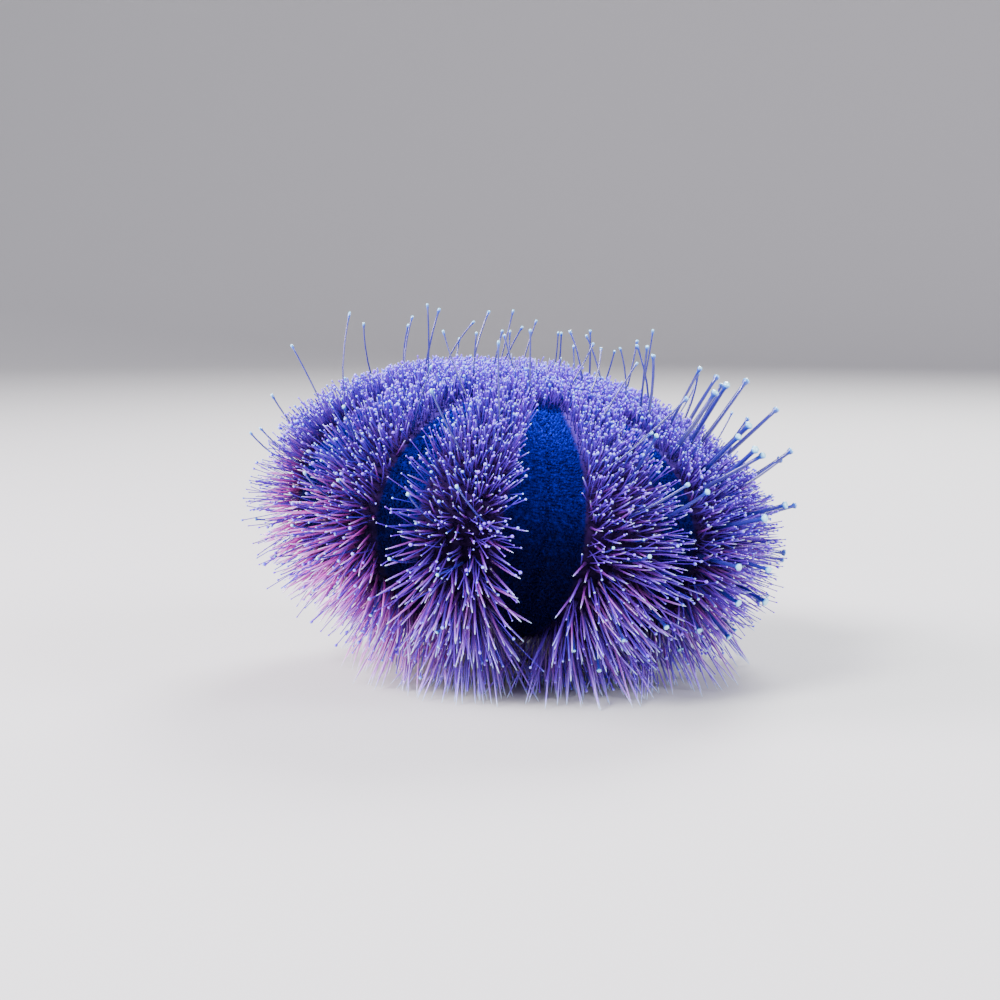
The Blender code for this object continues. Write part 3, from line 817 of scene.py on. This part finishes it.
def peristome():
    """The folded membrane round the mouth, with five pairs of short feet."""
    depth = mouth_depth()
    rim = MOUTH_RADIUS + 0.2
    radius = np.linspace(LIP_RADIUS - 0.4, rim, MEMBRANE_RINGS)
    lip = LIP_RISE * np.exp(-((radius - LIP_PLACE) / LIP_WIDTH) ** 2)
    fold = 0.35 + lip + FOLD_HEIGHT * np.sin(radius * FOLD_FREQUENCY)
    outline = np.stack([radius, -depth - fold * np.clip(rim - radius, 0, 1)], axis=1)
    pieces = [turned(outline[::-1])]
    for ray in range(RAYS):
        for side in (-1, 1):
            turn = FIRST_WIDE_BAND + (ray + 0.5) * math.tau / RAYS + side * MOUTH_FOOT_TURN
            centre = outward(np.array(turn)) * MOUTH_FOOT_PLACE + [0, 0, -depth - 0.4]
            pieces.append(dome(centre, MOUTH_FOOT_RADIUS, -MOUTH_FOOT_LENGTH)[:, ::-1])
    return joined("mouth_membrane", pieces, ["peristome"])


def teeth():
    """Five bevelled teeth that meet in the mouth."""
    share = np.linspace(0, 1, TOOTH_RINGS)[:, None]
    spin = (np.arange(TOOTH_SIDES) * math.tau / TOOTH_SIDES)[:, None]
    root_height = TOOTH_ROOT_RISE - mouth_depth()
    wide = (TOOTH_WIDTH * (1 - 0.75 * share ** 2) + 0.02)[:, None]
    pieces = []
    for ray in range(RAYS):
        turn = FIRST_WIDE_BAND + ray * math.tau / RAYS
        out, across = outward(np.array(turn)), outward(np.array(turn + math.pi / 2))
        centre = out * (TOOTH_ROOT_PLACE - TOOTH_SLANT * share)
        centre[:, 2:] += root_height - TOOTH_LENGTH * share
        ring = across * np.cos(spin) + out * np.sin(spin) * TOOTH_FLATNESS
        pieces.append((centre[:, None] + ring[None] * wide)[:, ::-1])
    return joined("teeth_tips", pieces, ["teeth"])


def new_material(name, roughness, sheen=0.0, coat=0.0, specular=0.5):
    made = bpy.data.materials.new(name)
    made.use_nodes = True
    shader = made.node_tree.nodes["Principled BSDF"]
    shader.inputs["Roughness"].default_value = roughness
    shader.inputs["Sheen Weight"].default_value = sheen
    shader.inputs["Sheen Tint"].default_value = SHEEN_BLUE
    shader.inputs["Specular IOR Level"].default_value = specular
    shader.inputs["Coat Weight"].default_value = coat
    return made, made.node_tree.nodes, made.node_tree.links, shader


def ramp(nodes, links, factor, stops):
    node = nodes.new("ShaderNodeValToRGB")
    while len(node.color_ramp.elements) < len(stops):
        node.color_ramp.elements.new(0.5)
    for element, (place, colour) in zip(node.color_ramp.elements, stops):
        element.position = place
        element.color = (*colour, 1)
    links.new(factor, node.inputs["Fac"])
    return node.outputs["Color"]


def attribute(nodes, name):
    node = nodes.new("ShaderNodeAttribute")
    node.attribute_name = name
    return node.outputs["Fac"]


def mixed(nodes, links, factor, first, second, kind="MIX"):
    node = nodes.new("ShaderNodeMix")
    node.data_type = "RGBA"
    node.blend_type = kind
    sockets = [node.inputs[0], node.inputs[6], node.inputs[7]]
    for socket, value in zip(sockets, (factor, first, second)):
        if isinstance(value, bpy.types.NodeSocket):
            links.new(value, socket)
        else:
            socket.default_value = value if isinstance(value, float) else (*value, 1)
    return node.outputs[2]


def noise(nodes, links, scale):
    place = nodes.new("ShaderNodeTexCoord")
    node = nodes.new("ShaderNodeTexNoise")
    node.inputs["Scale"].default_value = scale
    links.new(place.outputs["Object"], node.inputs["Vector"])
    return node.outputs[0]


def bumped(nodes, links, shader, height, strength):
    node = nodes.new("ShaderNodeBump")
    node.inputs["Strength"].default_value = strength
    node.inputs["Distance"].default_value = BUMP_DISTANCE
    links.new(height, node.inputs["Height"])
    links.new(node.outputs["Normal"], shader.inputs["Normal"])


def skin_material():
    """Cobalt velvet on the bare bands, and purple flesh under the spines, with painted shade that darkens
    it between the spines and low down, and painted light on the flesh at the top.
    """
    made, nodes, links, shader = new_material("urchin skin", 0.7, sheen=0.04, specular=0.03)
    blue = ramp(nodes, links, noise(nodes, links, MOTTLE_SCALE), BAND_BLUE)
    # Painted light and shade on the flesh: its lit copy near the top, its shaded copy below and between the
    # spines
    shaded_flesh = ramp(nodes, links, noise(nodes, links, FLESH_SCALE), SHADED_FLESH)
    top = ramp(nodes, links, attribute(nodes, "painted_shade"), LIT_FLESH_AT_TOP)
    flesh = mixed(nodes, links, top, shaded_flesh, LIT_FLESH)
    colour = mixed(nodes, links, attribute(nodes, "blue"), flesh, blue)
    # Painted shade over the whole skin, darker down the test
    shade = ramp(nodes, links, attribute(nodes, "painted_shade"), DARKEST_TO_FULL)
    links.new(mixed(nodes, links, 1.0, colour, shade, "MULTIPLY"), shader.inputs["Base Color"])
    bumped(nodes, links, shader, noise(nodes, links, SKIN_BUMP_SCALE), 0.6)
    return made


def papilla_material():
    made, nodes, links, shader = new_material("blue papillae", 0.7, sheen=0.04, specular=0.03)
    # The papillae's tint carries their painted shade
    links.new(ramp(nodes, links, attribute(nodes, "tint"), PAPILLA_BLUE), shader.inputs["Base Color"])
    return made


def two_paints(nodes, links, shader, first, second):
    """Paint along a tuft, between first where its tint is 0 and second where it is 1."""
    along = attribute(nodes, "along")
    paints = [ramp(nodes, links, along, stops) for stops in (first, second)]
    colour = mixed(nodes, links, attribute(nodes, "tint"), *paints)
    links.new(colour, shader.inputs["Base Color"])


def spine_material():
    """Maroon at the root, darkened there to near black as painted shade between the spines, pink and purple
    along the shaft, and a pale bluish tip.
    """
    made, nodes, links, shader = new_material("spines", 0.3, coat=0.4)
    two_paints(nodes, links, shader, PINK_SPINE, VIOLET_SPINE)
    return made


def stalk_material():
    """Periwinkle stalks with bright beads."""
    made, nodes, links, shader = new_material("beaded stalks", 0.3, coat=0.15, specular=0.25)
    two_paints(nodes, links, shader, PALE_STALK, DEEP_STALK)
    return made


def foot_material():
    """Glossy blue-violet feet with pale suckers."""
    made, nodes, links, shader = new_material("tube feet", 0.2, coat=0.6)
    links.new(ramp(nodes, links, attribute(nodes, "along"), FOOT_BLUE), shader.inputs["Base Color"])
    return made


def mottled_material(name, paint, scale, roughness, coat=0.0):
    made, nodes, links, shader = new_material(name, roughness, coat=coat)
    links.new(ramp(nodes, links, noise(nodes, links, scale), paint), shader.inputs["Base Color"])
    bumped(nodes, links, shader, noise(nodes, links, scale * 2), 0.5)
    return made


def area_light(name, place, size, power, colour):
    """A soft light that faces the middle of the urchin."""
    data = bpy.data.lights.new(name, "AREA")
    data.size = size
    data.energy = power
    data.color = colour
    light = bpy.data.objects.new(name, data)
    light.location = place
    light.visible_camera = False
    aim = Vector((0, 0, WIDEST_HEIGHT * MM)) - Vector(place)
    light.rotation_euler = aim.to_track_quat("-Z", "Y").to_euler()
    bpy.context.scene.collection.objects.link(light)


def pale_floor():
    """A plain floor that curves up at its edge."""
    data = bpy.data.meshes.new("floor")
    outline = [(0.002, 0.0), (FLOOR_REACH, 0.0)]
    for turn in np.linspace(0.1, 1.57, 14):
        across, up = math.sin(turn), 1 - math.cos(turn)
        outline.append((FLOOR_REACH + SWEEP_RADIUS * across, SWEEP_RADIUS * up))
    rings = turned(outline)
    columns = rings.shape[1]
    corners = rings.reshape(-1, 3).tolist() + [(0, 0, 0)]
    faces = grid_quads(len(outline), columns).tolist()
    faces += [(len(corners) - 1, (i + 1) % columns, i) for i in range(columns)]
    data.from_pydata(corners, [], faces)
    data.shade_smooth()
    made, _, _, shader = new_material("pale floor", 0.7)
    shader.inputs["Base Color"].default_value = FLOOR_GREY
    data.materials.append(made)
    floor = bpy.data.objects.new("floor", data)
    bpy.context.scene.collection.objects.link(floor)


def studio():
    """A pale floor, soft light all round, and the four lights."""
    pale_floor()
    world = bpy.data.worlds.new("soft light")
    world.use_nodes = True
    background = world.node_tree.nodes["Background"]
    background.inputs["Color"].default_value = WORLD_COLOUR
    background.inputs["Strength"].default_value = WORLD_STRENGTH
    bpy.context.scene.world = world
    for name, light in LIGHTS.items():
        area_light(name, **light)


def camera():
    """Looks along +Y and a little down, with the test's middle at its place in the photo."""
    data = bpy.data.cameras.new("camera")
    data.sensor_width = SENSOR_WIDTH
    data.lens = SENSOR_WIDTH * CAMERA_DISTANCE / FRAME_WIDTH
    data.clip_start = 0.01
    made = bpy.data.objects.new("camera", data)
    bpy.context.scene.collection.objects.link(made)
    per_pixel = FRAME_WIDTH / PHOTO_PIXELS
    right = (PHOTO_PIXELS / 2 - TEST_CENTRE_PIXEL[0]) * per_pixel
    up = (TEST_CENTRE_PIXEL[1] - PHOTO_PIXELS / 2) * per_pixel
    target = Vector((AXIS_OFFSET[0] + right, AXIS_OFFSET[1], WIDEST_HEIGHT + up)) * MM
    back = Vector((0, -math.cos(CAMERA_ELEVATION), math.sin(CAMERA_ELEVATION)))
    made.location = target + back * CAMERA_DISTANCE * MM
    made.rotation_euler = (-back).to_track_quat("-Z", "Y").to_euler()
    bpy.context.scene.camera = made


def dress(pieces, material):
    for piece in pieces:
        piece.data.materials.append(material)


def main():
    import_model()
    numbers = range(2 * RAYS)
    dress([skin()], skin_material())
    dress([papillae(i) for i in numbers], papilla_material())
    cover = disc_spines(), disc_stalks()
    dress([spines(i) for i in numbers] + [cover[0]], spine_material())
    dress([stalks(i) for i in numbers] + [cover[1]], stalk_material())
    dress([tube_feet(i) for i in numbers], foot_material())
    dress([apical_disc()], mottled_material("disc", DISC_PAINT, 900, 0.5))
    dress([peristome()], mottled_material("membrane", MEMBRANE_PAINT, 700, 0.35, coat=0.4))
    dress([teeth()], mottled_material("teeth", TOOTH_PAINT, 500, 0.3))
    studio()
    camera()


main()
